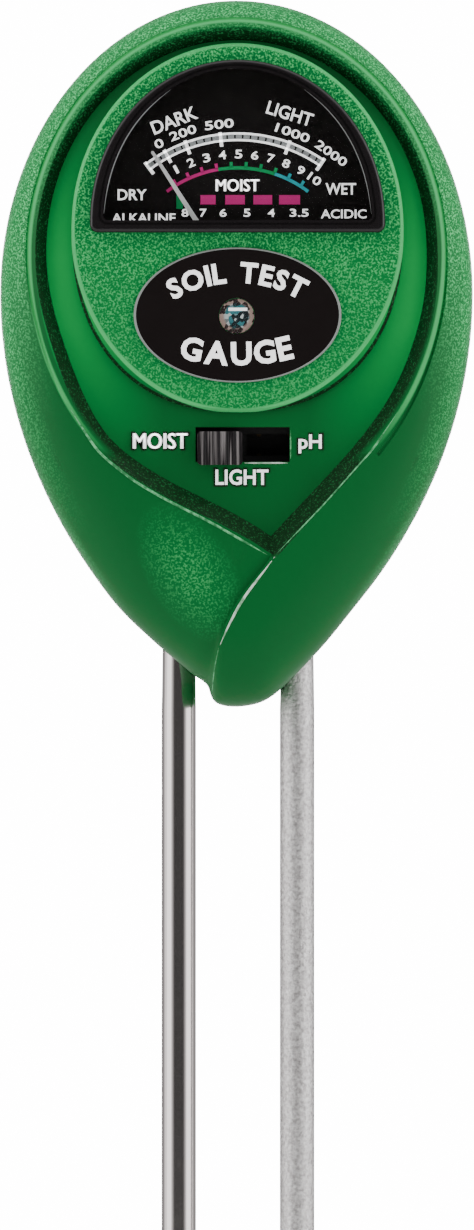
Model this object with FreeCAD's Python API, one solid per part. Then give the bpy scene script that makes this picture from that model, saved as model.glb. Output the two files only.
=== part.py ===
"""Two-probe soil meter (moisture, light and pH) as separate parts, in millimetres.

Frame: +Z up, the dial faces -Y, +X to the right seen from the front. The origin lies midway
between the two probe tips, and the plane y = 0 is the joint between front shell and rear cover.
"""
import FreeCAD, Part
import math
import os

V = FreeCAD.Vector

# ---- overall sizes -------------------------------------------------------------------------
TOTAL_HEIGHT = 285.0
HEAD_HALF_WIDTH = 32.7
HEAD_CENTRE_Z = 244.4                      # height of the widest place of the head
HEAD_UP = TOTAL_HEIGHT - HEAD_CENTRE_Z     # centre to crown
HEAD_DOWN = 56.9                           # centre to nose
LOWER_POWER = 1.6                          # fullness of the lower half of the outline
CROWN_SHARE = 0.52                         # how far a smaller skin draws in at the crown,
NOSE_SHARE = 0.42                          # and at the nose, against the sides
SHELL_JOINT_Y = 0.0

# ---- skins of the head: (scale of the outline, depth y) -------------------------------------
DOME = [(1.0, 0.0), (0.9995, -3.5), (0.998, -7.0), (0.992, -9.6), (0.973, -11.6), (0.940, -13.1),
        (0.900, -14.3), (0.860, -15.2), (0.790, -16.2), (0.690, -16.95), (0.590, -17.3), (0.450, -17.45),
        (0.300, -17.48), (0.150, -17.49)]
FACE = [(1.0, 0.0), (0.955, -8.0), (0.880, -12.1), (0.780, -13.5), (0.660, -14.2),
        (0.500, -14.6), (0.350, -14.7)]
FRONT_CAVITY = [(0.940, 0.5), (0.935, -3.0), (0.915, -7.0), (0.860, -10.0), (0.750, -11.6),
                (0.600, -12.2), (0.400, -12.4)]
REAR_DOME = [(1.0, 0.0), (0.996, 4.0), (0.980, 8.0), (0.945, 11.5), (0.885, 14.4),
             (0.800, 16.3), (0.700, 17.35), (0.600, 17.8), (0.500, 17.95), (0.420, 18.0)]
REAR_CAVITY = [(0.940, -0.5), (0.930, 5.0), (0.900, 9.5), (0.840, 12.6), (0.740, 14.6),
               (0.600, 15.6), (0.450, 15.8)]
LEAF_LIFT = 0.016                          # rise of the overlapping leaf per millimetre below its start
LEAF_START_Z = 249.8
WALL_SLOPE = 0.027                         # widening of the recess per millimetre of height
RECESS_LEVEL_Y = -15.0
BEAD_RADIUS = 0.58
BEAD_OFFSET = 0.45                         # from the leaf edge outwards
CREASE_RADIUS = 0.28
CREASE_OFFSET = 1.15

# ---- pad, dial and label --------------------------------------------------------------------
PAD_CENTRE = (0.14, 253.4)
PAD_HALF = (22.9, 25.45)
PAD_LOWER_POWER = 2.3                      # the lower half is a little fuller than an ellipse
PAD_FRONT_Y = -15.6
PAD_POCKET_Y = -14.0
PAD_CHAMFER = 0.45
DIAL_X = 0.14
DIAL_Z = 254.2
BEZEL_HALF = (20.35, 22.35)
BEZEL_BOTTOM_Z = 252.7
BEZEL_CORNER = 1.1
BEZEL_FRONT_Y = -17.4
OPENING_HALF = (18.55, 21.10)
OPENING_BOTTOM_Z = 254.4
OPENING_CORNER = 0.7
WINDOW_HALF = (19.10, 21.60)
WINDOW_BOTTOM_Z = 253.85
WINDOW_FRONT_Y = -16.5
DIAL_FRONT_Y = -12.6
DIAL_THICKNESS = 0.5
LABEL_CENTRE = (0.14, 241.35)
LABEL_HALF = (14.1, 9.15)
LABEL_THICKNESS = 0.4
SENSOR = (0.03, 241.2)
SENSOR_RADIUS = 2.5
PHOTOCELL_RADIUS = 2.05

# ---- movement -------------------------------------------------------------------------------
PIVOT = (0.14, 245.5)
REST_ANGLE = -32.6                         # pointer at rest, to the left of straight up
POINTER_LENGTH = 22.0
CORE_RADIUS = 5.5
YOKE_INNER = 7.75
YOKE_OUTER = 9.5
POST_X = 11.5
EAR_X = 15.5
FRAME_FRONT_Y = -3.0
FRAME_REAR_Y = -1.5

# ---- selector switch ------------------------------------------------------------------------
SLOT_X = (-5.65, 7.33)
SLOT_Z = (221.1, 225.9)
KNOB_X = (-5.40, 0.83)
KNOB_Z = (220.7, 225.3)
KNOB_FRONT_Y = -16.7
CASE_X = (-9.2, 10.8)
CASE_Z = (220.3, 226.7)
CASE_Y = (-11.0, -5.0)
TERMINAL_X = (-5.5, -1.2, 3.1, 7.4)
TERMINAL_Z = (222.0, 225.0)

# ---- board, probes and screws ---------------------------------------------------------------
BOARD_X = (-12.6, 14.0)
BOARD_Z = (209.5, 235.2)
BOARD_Y = (-5.0, -3.4)
BOARD_SCREWS = ((-10.2, 231.2), (11.4, 231.2))
LEFT_PROBE_X = -8.0
RIGHT_PROBE_X = 8.4
PROBE_RADIUS = 2.4
PROBE_BORE = 1.7
PROBE_TOP_Z = 210.5
PROBE_NECK_Z = (187.0, 200.0)              # here the tube narrows gently, to fit the holder
PROBE_NECK_RADIUS = 2.22
PROBE_CONE = 9.0
HOLDER_Z = (202.5, 208.0)
HOLDER_X = (-11.7, 12.1)
HOLDER_Y = (-5.0, 5.0)
COVER_SCREWS = ((-22.8, 262.0), (22.8, 262.0), (-17.5, 222.0), (17.5, 222.0))
SCREW_SEAT_Y = 5.0


# ---- helpers --------------------------------------------------------------------------------
def box(x, y, z):
    """A block between the pairs of limits x, y and z."""
    return Part.makeBox(x[1] - x[0], y[1] - y[0], z[1] - z[0], V(x[0], y[0], z[0]))


def rod_y(x, z, radius, y0, y1):
    """A cylinder along Y between depths y0 < y1."""
    return Part.makeCylinder(radius, y1 - y0, V(x, y0, z), V(0, 1, 0))


def rod_z(x, y, radius, z0, z1):
    """A cylinder along Z between heights z0 < z1."""
    return Part.makeCylinder(radius, z1 - z0, V(x, y, z0), V(0, 0, 1))


def oval(centre, half, y0, y1):
    """An elliptical block along Y."""
    cx, cz = centre
    ends = [V(cx + half[0], y0, cz), V(cx, y0, cz + half[1])]
    if half[1] > half[0]:
        ends.reverse()
    curve = Part.Ellipse(ends[0], ends[1], V(cx, y0, cz))
    return Part.Face(Part.Wire(curve.toShape())).extrude(V(0, y1 - y0, 0))


def half_oval(half, bottom_z, y0, y1):
    """The dial's shape: the upper half of an ellipse on short straight sides, along Y."""
    a, b = half
    left = V(DIAL_X - a, y0, DIAL_Z)
    right = V(DIAL_X + a, y0, DIAL_Z)
    curve = Part.Ellipse(V(DIAL_X, y0, DIAL_Z + b), V(DIAL_X - a, y0, DIAL_Z), V(DIAL_X, y0, DIAL_Z))
    u0 = curve.parameter(left)
    u1 = curve.parameter(right)
    top = curve.parameter(V(DIAL_X, y0, DIAL_Z + b))
    arcs = [Part.ArcOfEllipse(curve, *sorted_span(u0, top)).toShape(),
            Part.ArcOfEllipse(curve, *sorted_span(u1, top)).toShape()]
    low_left = V(DIAL_X - a, y0, bottom_z)
    low_right = V(DIAL_X + a, y0, bottom_z)
    if abs(bottom_z - DIAL_Z) < 1e-6:
        edges = arcs + [Part.makeLine(left, right)]
    elif bottom_z < DIAL_Z:
        edges = arcs + [Part.makeLine(left, low_left), Part.makeLine(low_left, low_right),
                        Part.makeLine(low_right, right)]
    else:
        whole = half_oval(half, DIAL_Z, y0, y1)
        keep = box((-50, 50), (min(y0, y1) - 1, max(y0, y1) + 1), (bottom_z, 400))
        return whole.common(keep)
    wire = Part.Wire(Part.__sortEdges__(edges))
    return Part.Face(wire).extrude(V(0, y1 - y0, 0))


def sorted_span(u, top):
    """Parameters of the quarter of an ellipse between u and the top, in rising order."""
    turn = 2 * math.pi
    gap = (u - top) % turn
    if gap > math.pi:
        return top - (turn - gap), top
    return top, top + gap


def outline_point(phi):
    """A point (x, z) of the head's outline, relative to its centre, at the angle phi."""
    c = math.cos(phi)
    s = math.sin(phi)
    if s >= 0:
        return HEAD_HALF_WIDTH * c, HEAD_UP * s
    x = HEAD_HALF_WIDTH * math.copysign(abs(c) ** LOWER_POWER, c)
    return x, HEAD_DOWN * s


def shrunk(x, z, scale, depth):
    """The outline point (x, z) on the smaller ring of a skin: sides draw in most, the nose least."""
    share = CROWN_SHARE if z >= 0 else NOSE_SHARE
    return V(scale * x, depth, HEAD_CENTRE_Z + (1 - (1 - scale) * share) * z)


def skin(levels, nose=(), count=44):
    """A smooth closed body through scaled copies of the outline, one at each depth.

    nose holds the points, relative to the centre, that replace the outline around the tip.
    """
    low = math.radians(-50)
    plain = [2 * math.pi * k / count for k in range(count)]
    wires = []
    for scale, depth in levels:
        if nose:
            fine = [math.pi / 2 - (math.pi / 2 - low) * k / 22 for k in range(23)]
            right = [outline_point(a) for a in fine]
            left = [(-x, z) for x, z in reversed(right)][:-1]
            points = right + list(nose) + left
        else:
            points = [outline_point(a) for a in plain]
        ring = [shrunk(x, z, scale, depth) for x, z in points]
        curve = Part.BSplineCurve()
        curve.interpolate(Points=ring, PeriodicFlag=True)
        wires.append(Part.Wire(curve.toShape()))
    return Part.makeLoft(wires, True, False)


def level_of(x, z):
    """The scale of the ring that passes through the point (x, z)."""
    dz = z - HEAD_CENTRE_Z
    low, high = 0.02, 1.3
    for _ in range(50):
        mid = (low + high) / 2
        if dz >= 0:
            t = dz / (HEAD_UP * (1 - (1 - mid) * CROWN_SHARE))
            half = HEAD_HALF_WIDTH * mid * math.sqrt(max(0.0, 1 - t * t))
        else:
            t = dz / (HEAD_DOWN * (1 - (1 - mid) * NOSE_SHARE))
            half = HEAD_HALF_WIDTH * mid * max(0.0, 1 - t * t) ** (LOWER_POWER / 2)
        if abs(x) < half:
            high = mid
        else:
            low = mid
    return low


def depth_at(levels, x, z):
    """Depth of a skin at the point (x, z), straight between its levels."""
    s = level_of(x, z)
    for (s0, y0), (s1, y1) in zip(levels, levels[1:]):
        if s >= s1:
            return y0 + (y1 - y0) * (s0 - s) / (s0 - s1)
    return levels[-1][1]


def smooth(points, start=None, end=None):
    """An open curve through points, with the end directions given."""
    curve = Part.BSplineCurve()
    if start is None:
        curve.interpolate(Points=points)
    else:
        curve.interpolate(Points=points, InitialTangent=start, FinalTangent=end)
    return curve.toShape()


def tube_along(points, radius, start=None, end=None):
    """A round rod whose axis is the smooth curve through points."""
    path = Part.Wire(smooth(points, start, end))
    edge = path.Edges[0]
    first = edge.valueAt(edge.FirstParameter)
    ahead = edge.tangentAt(edge.FirstParameter)
    section = Part.Wire(Part.makeCircle(radius, first, ahead))
    return path.makePipeShell([section], True, True)


def fuse(first, *rest):
    """One solid from several, without seams between flush faces."""
    return first.fuse(list(rest)).removeSplitter() if rest else first


def screw_y(x, z, seat_y, head_radius, head_height, radius, tip_y):
    """A cross-head screw along Y whose head rests at seat_y and points backwards."""
    head = rod_y(x, z, head_radius, seat_y, seat_y + head_height)
    shank = rod_y(x, z, radius, tip_y, seat_y)
    body = head.fuse(shank)
    arm = head_radius * 0.62
    top = seat_y + head_height
    for half_x, half_z in ((arm, 0.22), (0.22, arm)):
        body = body.cut(box((x - half_x, x + half_x), (top - head_height * 0.6, top + 1),
                            (z - half_z, z + half_z)))
    return body


# ---- shells ---------------------------------------------------------------------------------
LEAF_EDGE_LEFT = [(-27.75, 249.8), (-27.1, 243.5), (-25.3, 236.6), (-22.3, 228.8), (-18.7, 222.8),
                  (-13.8, 218.7), (-9.4, 216.1), (-3.4, 213.1), (5.1, 208.2)]
LEAF_EDGE_RIGHT = [(27.75, 249.8), (27.4, 243.5), (25.8, 236.6), (23.2, 230.2), (18.6, 223.1),
                   (11.5, 215.1), (5.1, 208.2)]
LEAF_TAIL = [(1.0, 203.2), (-2.0, 197.6), (-3.3, 192.6), (-3.6, 186.0)]
NOSE = [(14.2, -46.0), (12.4, -48.2), (10.8, -49.95), (9.3, -51.5), (7.6, -53.2), (5.8, -54.95), (3.6, -56.4),
        (1.3, -57.0), (-1.5, -57.0), (-3.0, -56.4), (-3.6, -55.4), (-3.95, -54.3), (-5.5, -53.0),
        (-7.2, -51.65), (-8.7, -50.4), (-10.4, -49.0), (-12.2, -47.4), (-14.2, -45.55)]
LEAF_START = [(26.0, 249.8), (25.6, 243.5), (24.0, 236.6), (21.4, 230.2), (16.9, 223.6), (10.6, 216.6),
              (6.6, 211.6), (4.9, 208.3)]  # inside the recess, down to its corner
RIM_TOP = (27.75, 31.3)                    # half axes of the leaf edge over the crown
RIM_TOP_Z = 249.8


def recess(depth):
    """The wire of the recess inside the leaf edges, at the given depth."""
    def spread(x, z):
        level = depth_at(DOME, x, z)
        k = (1 + WALL_SLOPE * (RECESS_LEVEL_Y - depth)) / (1 + WALL_SLOPE * (RECESS_LEVEL_Y - level))
        return V(x * k, depth, 246 + (z - 246) * k)
    crown = []
    for k in range(1, 16):
        a = math.pi * k / 16
        crown.append(spread(RIM_TOP[0] * math.cos(a), RIM_TOP_Z + RIM_TOP[1] * math.sin(a)))
    right = [spread(x, z) for x, z in LEAF_EDGE_RIGHT]
    left = [spread(x, z) for x, z in LEAF_EDGE_LEFT]
    path = list(reversed(right)) + crown + left
    return Part.Wire([smooth(path)])


def recess_cut():
    """Everything taken out above the inner face, between the leaf edges."""
    opening = Part.makeLoft([recess(-10.5), recess(-20.0)], True, True)
    return opening.cut(skin(FACE))


def leaf_region():
    """The block over the overlapping leaf; its edge leaves the recess at the corner."""
    edge = smooth([V(x, 0, z) for x, z in LEAF_START + LEAF_TAIL])
    last = V(LEAF_TAIL[-1][0], 0, LEAF_TAIL[-1][1])
    corners = [last, V(last.x, 0, 180), V(45, 0, 180), V(45, 0, LEAF_START_Z),
               V(LEAF_START[0][0], 0, LEAF_START_Z)]
    sides = [Part.makeLine(a, b) for a, b in zip(corners, corners[1:])]
    region = Part.Face(Part.Wire(Part.__sortEdges__([edge] + sides)))
    region.translate(V(0, 5, 0))
    return region.extrude(V(0, -35, 0))


def right_leaf():
    """The leaf whose free edge lies over the other one, from the right side to the nose."""
    lift = FreeCAD.Matrix()
    lift.A23 = LEAF_LIFT
    lift.A24 = -LEAF_LIFT * LEAF_START_Z
    body = skin([(1.0, 3.0)] + DOME, NOSE).transformGeometry(lift)
    return body.common(leaf_region())


def edge_path(offset, sink, bury, spread):
    """A path along the leaf edges over the crown, moved outwards; both ends leave by bury and spread."""
    left = LEAF_EDGE_LEFT[4:0:-1]
    right = LEAF_EDGE_RIGHT[1:5]
    crown = []
    for k in range(17):
        a = math.pi - math.pi * k / 16
        crown.append((RIM_TOP[0] * math.cos(a), RIM_TOP_Z + RIM_TOP[1] * math.sin(a)))
    places = left + crown + right
    path = []
    for k, (x, z) in enumerate(places):
        fade = max(0, 3 - min(k, len(places) - 1 - k)) / 3
        reach = 1 + (offset + spread * fade) / math.hypot(x, z - 246)
        px = x * reach
        pz = 246 + (z - 246) * reach
        path.append(V(px, depth_at(DOME, px, pz) + sink + bury * fade, pz))
    return path


def leaf_bead():
    """The rounded bead along the leaf edge."""
    return tube_along(edge_path(BEAD_OFFSET, 0.10, 0.75, 1.3), BEAD_RADIUS)


def leaf_crease():
    """The fine crease outside the bead."""
    return tube_along(edge_path(CREASE_OFFSET, 0.0, -0.5, 0.2), CREASE_RADIUS)


def pad_block(inset, y0, y1):
    """The pad's shape along Y, drawn in by inset: an ellipse above, a fuller curve below."""
    a = PAD_HALF[0] - inset
    b = PAD_HALF[1] - inset
    points = []
    for k in range(40):
        phi = 2 * math.pi * k / 40
        c, s = math.cos(phi), math.sin(phi)
        power = 1.0 if s >= 0 else 2 / PAD_LOWER_POWER
        x = a * math.copysign(abs(c) ** power, c)
        z = b * math.copysign(abs(s) ** power, s)
        points.append(V(PAD_CENTRE[0] + x, y0, PAD_CENTRE[1] + z))
    curve = Part.BSplineCurve()
    curve.interpolate(Points=points, PeriodicFlag=True)
    return Part.Face(Part.Wire(curve.toShape())).extrude(V(0, y1 - y0, 0))


def build_front_shell():
    base = skin([(1.0, 3.0)] + DOME, NOSE)
    shell = base.cut(leaf_region()).fuse(right_leaf())
    shell = shell.cut(recess_cut())
    shell = shell.cut(leaf_crease()).fuse(leaf_bead())
    pad = pad_block(0, -11.0, PAD_FRONT_Y)
    rim = [e for e in pad.Edges if abs(e.BoundBox.YMin - PAD_FRONT_Y) < 1e-6 and e.BoundBox.YLength < 1e-6]
    pad = pad.makeChamfer(PAD_CHAMFER, rim)
    shell = shell.fuse(pad)
    shell = shell.cut(skin(FRONT_CAVITY))
    shell = shell.cut(pad_block(2.2, -9.0, PAD_POCKET_Y))
    bosses = [rod_y(sx * EAR_X + PIVOT[0], PIVOT[1], 2.0, -14.6, FRAME_FRONT_Y) for sx in (-1, 1)]
    bosses += [rod_y(x, z, 2.2, -13.0, BOARD_Y[0]) for x, z in BOARD_SCREWS]
    bosses += [rod_y(x, z, 2.5, -12.0 if z > HEAD_CENTRE_Z else -13.0, SHELL_JOINT_Y)
               for x, z in COVER_SCREWS]
    bosses += [rod_y(x, 205.25, 1.6, -13.0, HOLDER_Y[0]) for x in (-3.6, 3.9)]
    shell = shell.fuse(bosses)
    holes = [rod_y(sx * EAR_X + PIVOT[0], PIVOT[1], 0.9, -9.0, 0) for sx in (-1, 1)]
    holes += [rod_y(x, z, 0.9, -10.5, 0) for x, z in BOARD_SCREWS]
    holes += [rod_y(x, z, 1.1, -8.0, 1) for x, z in COVER_SCREWS]
    holes += [half_oval((OPENING_HALF[0] + 0.25, OPENING_HALF[1] + 0.25), OPENING_BOTTOM_Z - 0.25, -18, -9)]
    holes += [rod_y(SENSOR[0], SENSOR[1], PHOTOCELL_RADIUS + 0.05, -17, -12)]
    holes += [rod_y(SENSOR[0], SENSOR[1], SENSOR_RADIUS, -17, -15.0)]
    holes += [box(SLOT_X, (-18, -8), SLOT_Z)]
    holes += [rod_z(x, 0, PROBE_RADIUS + 0.1, 170, 206) for x in (LEFT_PROBE_X, RIGHT_PROBE_X)]
    holes += [box((-60, 60), (SHELL_JOINT_Y, 30), (150, 300))]
    return shell.cut(holes)


def build_rear_cover():
    cover = skin(REAR_DOME, NOSE).cut(skin(REAR_CAVITY))
    bosses = [rod_y(x, z, 2.9, 0.0, 18.0) for x, z in COVER_SCREWS]
    bosses += [rod_y(x, 205.25, 1.6, HOLDER_Y[1], 18.0) for x in (-3.6, 3.9)]
    inside = skin(REAR_DOME, NOSE)
    cover = cover.fuse([boss.common(inside) for boss in bosses])
    holes = [rod_y(x, z, 2.3, SCREW_SEAT_Y, 25) for x, z in COVER_SCREWS]
    holes += [rod_y(x, z, 1.3, -1, SCREW_SEAT_Y + 1) for x, z in COVER_SCREWS]
    holes += [rod_z(x, 0, PROBE_RADIUS + 0.1, 170, 206) for x in (LEFT_PROBE_X, RIGHT_PROBE_X)]
    return cover.cut(holes)


def build_cover_screws():
    screws = [screw_y(x, z, SCREW_SEAT_Y, 2.1, 1.6, 1.1, -7.0) for x, z in COVER_SCREWS]
    return Part.makeCompound(screws)


# ---- dial, window and label -----------------------------------------------------------------
def rounded_half_oval(half, bottom_z, corner, y0, y1):
    """The dial's shape with its two lower corners rounded."""
    block = half_oval(half, bottom_z, y0, y1)
    corners = [e for e in block.Edges if e.BoundBox.XLength < 1e-6 and e.BoundBox.ZLength < 1e-6
               and abs(e.BoundBox.ZMin - bottom_z) < 1e-6]
    return block.makeFillet(corner, corners)


def opening_grown(grow, y0, y1):
    """The bezel's opening, larger all round by grow."""
    half = (OPENING_HALF[0] + grow, OPENING_HALF[1] + grow)
    return rounded_half_oval(half, OPENING_BOTTOM_Z - grow, OPENING_CORNER + grow, y0, y1)


def window_block(clearance, y0, y1):
    half = (WINDOW_HALF[0] - clearance, WINDOW_HALF[1] - clearance)
    return rounded_half_oval(half, WINDOW_BOTTOM_Z + clearance, 1.0, y0, y1)


def build_dial_bezel():
    frame = rounded_half_oval(BEZEL_HALF, BEZEL_BOTTOM_Z, BEZEL_CORNER, BEZEL_FRONT_Y, PAD_FRONT_Y)
    rim = [e for e in frame.Edges if e.BoundBox.YMax < BEZEL_FRONT_Y + 1e-4]
    frame = frame.makeFillet(0.55, rim)
    groove = opening_grown(0.62, -20, BEZEL_FRONT_Y + 0.25).cut(opening_grown(0.34, -21, -10))
    frame = frame.cut(groove)
    frame = frame.cut(opening_grown(0, -20, -10))
    return frame.cut(window_block(0, WINDOW_FRONT_Y, -10))


def build_dial_window():
    return window_block(0.04, WINDOW_FRONT_Y, PAD_FRONT_Y)


def build_dial_plate():
    y0, y1 = DIAL_FRONT_Y, DIAL_FRONT_Y + DIAL_THICKNESS
    fan = half_oval((19.7, 21.7), 250.5, y0, y1)
    tongue = box((PIVOT[0] - 13.2, PIVOT[0] + 13.2), (y0, y1), (240.5, 251.5))
    plate = fuse(fan, tongue)
    plate = plate.cut(rod_y(PIVOT[0], PIVOT[1], 8.5, y0 - 1, y1 + 1))
    plate = plate.cut(box((PIVOT[0] - 8.5, PIVOT[0] + 8.5), (y0 - 1, y1 + 1), (230, PIVOT[1])))
    holes = [rod_y(PIVOT[0] + sx * POST_X, PIVOT[1], 0.8, y0 - 1, y1 + 1) for sx in (-1, 1)]
    return plate.cut(holes)


def build_label_plate():
    plate = oval(LABEL_CENTRE, LABEL_HALF, PAD_FRONT_Y, PAD_FRONT_Y - LABEL_THICKNESS)
    return plate.cut(rod_y(SENSOR[0], SENSOR[1], SENSOR_RADIUS, -20, -10))


def build_sensor_window():
    disc = rod_y(SENSOR[0], SENSOR[1], SENSOR_RADIUS - 0.02, -16.2, -15.0)
    rim = [e for e in disc.Edges if e.BoundBox.YMax < -16.19]
    return disc.makeFillet(0.3, rim)


def build_photocell():
    return rod_y(SENSOR[0], SENSOR[1], PHOTOCELL_RADIUS, -15.0, -13.8)


def build_photocell_leads():
    leads = []
    for sx in (-1, 1):
        x = SENSOR[0] + sx
        flat = rod_z(x, -13.6, 0.2, 234.3, 240.6)
        back = rod_y(x, 234.3, 0.2, -13.6, BOARD_Y[0])
        knee = Part.makeSphere(0.2, V(x, -13.6, 234.3))
        leads.append(flat.fuse([back, knee]))
    return Part.makeCompound(leads)


# ---- movement -------------------------------------------------------------------------------
PX, PZ = PIVOT


def turned(shape):
    """A moving piece, built with the pointer straight up, turned to its rest position."""
    copy = shape.copy()
    copy.rotate(V(PX, 0, PZ), V(0, 1, 0), REST_ANGLE)
    return copy


def frame_wire(half_x, y0, y1, half_z):
    """A block centred on the pivot axis."""
    return box((PX - half_x, PX + half_x), (y0, y1), (PZ - half_z, PZ + half_z))


def build_movement_frame():
    plate = rod_y(PX, PZ, 10.9, FRAME_FRONT_Y, FRAME_REAR_Y)
    ears = box((PX - EAR_X - 2, PX + EAR_X + 2), (FRAME_FRONT_Y, FRAME_REAR_Y), (PZ - 2.4, PZ + 2.4))
    y_top = DIAL_FRONT_Y + DIAL_THICKNESS
    posts = [rod_y(PX + sx * POST_X, PZ, 1.6, y_top, FRAME_REAR_Y) for sx in (-1, 1)]
    body = fuse(plate, ears, *posts)
    holes = [rod_y(PX, PZ, 3.3, -5, 0)]
    holes += [rod_y(PX + sx * POST_X, PZ, 0.8, y_top - 1, -8) for sx in (-1, 1)]
    holes += [rod_y(PX + sx * EAR_X, PZ, 1.1, -5, 0) for sx in (-1, 1)]
    return body.cut(holes)


def build_yoke_ring():
    return rod_y(PX, PZ, YOKE_OUTER, -9.8, FRAME_FRONT_Y).cut(rod_y(PX, PZ, YOKE_INNER, -11, -2))


def build_core_magnet():
    return rod_y(PX, PZ, CORE_RADIUS, -9.5, -4.5)


def build_core_spokes():
    bar = box((PX - 1.3, PX + 1.3), (-9.0, -5.0), (PZ - 9, PZ + 9))
    bar = bar.common(rod_y(PX, PZ, YOKE_INNER, -10, -4))
    bar = bar.cut(rod_y(PX, PZ, CORE_RADIUS, -10, -4))
    return Part.makeCompound(bar.Solids)


def build_coil():
    loop = frame_wire(7.3, -10.7, -3.3, 1.0).cut(frame_wire(6.3, -10.1, -3.9, 2.0))
    return turned(loop)


def build_coil_former():
    loop = frame_wire(6.3, -10.1, -3.9, 0.9).cut(frame_wire(5.95, -9.75, -4.25, 2.0))
    return turned(loop)


def pivot_pin(y_hub, y_hub_end, y_tip):
    """A pivot: a flat hub on the coil and a thin shaft with a conical point."""
    way = 1 if y_tip > y_hub else -1
    hub = rod_y(PX, PZ, 1.0, min(y_hub, y_hub_end), max(y_hub, y_hub_end))
    neck = y_tip - way * 0.5
    shaft = rod_y(PX, PZ, 0.35, min(y_hub, neck), max(y_hub, neck))
    cone = Part.makeCone(0.35, 0.05, 0.5, V(PX, neck, PZ), V(0, way, 0))
    return hub.fuse([shaft, cone])


def build_front_pivot():
    return pivot_pin(-10.7, -10.95, -12.75)


def build_rear_pivot():
    return pivot_pin(-3.3, -3.05, -1.35)


def hairspring(y0, outer, turns=4):
    """A flat spiral ribbon from the pivot shaft out to its fixed end on the left."""
    inner = 0.35
    steps = 12 * turns
    near, far = [], []
    for k in range(steps + 1):
        t = k / steps
        angle = math.pi - 2 * math.pi * turns * (1 - t)
        radius = inner + (outer - inner) * t
        for side, points in ((-0.05, near), (0.05, far)):
            r = radius + side
            points.append(V(PX + r * math.cos(angle), y0, PZ + r * math.sin(angle)))
    a = smooth(near)
    b = smooth(far)
    ends = [Part.makeLine(near[0], far[0]), Part.makeLine(near[-1], far[-1])]
    wire = Part.Wire(Part.__sortEdges__([a, b] + ends))
    return Part.Face(wire).extrude(V(0, 0.3, 0))


def build_front_hairspring():
    return hairspring(-11.35, 4.3)


def build_rear_hairspring():
    return hairspring(-2.6, 3.25, 3)


def build_pointer():
    hub = rod_y(PX, PZ, 1.3, -11.9, -11.5)
    tail = box((PX - 0.4, PX + 0.4), (-11.9, -11.5), (PZ - 6.2, PZ))
    root = box((PX - 0.4, PX + 0.4), (-11.9, -11.5), (PZ, PZ + 4.6))
    profile = [V(PX - 0.4, -11.9, PZ + 4.4), V(PX - 0.4, -11.5, PZ + 4.6), V(PX - 0.4, -13.1, PZ + 6.4),
               V(PX - 0.4, -13.4, PZ + 6.2)]
    crank = Part.Face(Part.makePolygon(profile + profile[:1])).extrude(V(0.8, 0, 0))
    blade = [V(PX - 0.4, -13.4, PZ + 6.2), V(PX + 0.4, -13.4, PZ + 6.2),
             V(PX + 0.22, -13.4, PZ + POINTER_LENGTH - 0.2), V(PX, -13.4, PZ + POINTER_LENGTH),
             V(PX - 0.22, -13.4, PZ + POINTER_LENGTH - 0.2)]
    blade = Part.Face(Part.makePolygon(blade + blade[:1])).extrude(V(0, 0.3, 0))
    body = hub.fuse([tail, root, crank, blade]).cut(rod_y(PX, PZ, 0.35, -13, -11))
    return turned(body.removeSplitter())


def build_pointer_weight():
    return turned(rod_y(PX, PZ - 5.6, 0.8, -11.5, -10.9))


def build_front_bridge():
    strip = box((PX - 13.1, PX + 13.1), (DIAL_FRONT_Y - 0.6, DIAL_FRONT_Y), (PZ - 1.5, PZ + 1.5))
    lug = box((PX - 5.2, PX - 4.3), (DIAL_FRONT_Y, -11.0), (PZ - 0.6, PZ + 0.6))
    body = fuse(strip, lug)
    holes = [rod_y(PX + sx * POST_X, PZ, 0.8, -15, -10) for sx in (-1, 1)]
    holes.append(rod_y(PX, PZ, 1.0, -15, -10))
    return body.cut(holes)


def build_rear_bridge():
    strip = box((PX - 1.5, PX + 1.5), (FRAME_REAR_Y, FRAME_REAR_Y + 0.6), (PZ - 9.0, PZ + 9.0))
    holes = [rod_y(PX, PZ + sz * 7.0, 0.8, -3, 0) for sz in (-1, 1)]
    holes.append(rod_y(PX, PZ, 1.0, -3, 0))
    return strip.cut(holes)


def jewel_screw(y_outer, y_inner):
    """A slotted bearing screw with a conical cup for the pivot's point."""
    way = 1 if y_inner > y_outer else -1
    body = rod_y(PX, PZ, 1.0, min(y_outer, y_inner), max(y_outer, y_inner))
    cup = Part.makeCone(0.45, 0.08, 0.6, V(PX, y_inner, PZ), V(0, -way, 0))
    slot = box((PX - 1.1, PX + 1.1), (y_outer - 0.2, y_outer + 0.2), (PZ - 0.15, PZ + 0.15))
    return body.cut([cup, slot])


def build_front_jewel():
    return jewel_screw(-13.7, -12.3)


def build_rear_jewel():
    return jewel_screw(0.2, -1.8)


def build_bridge_screws():
    y = DIAL_FRONT_Y - 0.6
    screws = []
    for sx in (-1, 1):
        x = PX + sx * POST_X
        screws.append(rod_y(x, PZ, 1.3, y - 0.6, y).fuse(rod_y(x, PZ, 0.8, y, -8.5)))
    for sz in (-1, 1):
        z = PZ + sz * 7.0
        y_top = FRAME_REAR_Y + 0.6
        screws.append(rod_y(PX, z, 1.3, y_top, y_top + 0.6).fuse(rod_y(PX, z, 0.8, FRAME_REAR_Y, y_top)))
    return Part.makeCompound(screws)


def build_movement_screws():
    screws = [screw_y(PX + sx * EAR_X, PZ, FRAME_REAR_Y, 1.7, 1.0, 0.9, -8.0) for sx in (-1, 1)]
    return Part.makeCompound(screws)


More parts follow.
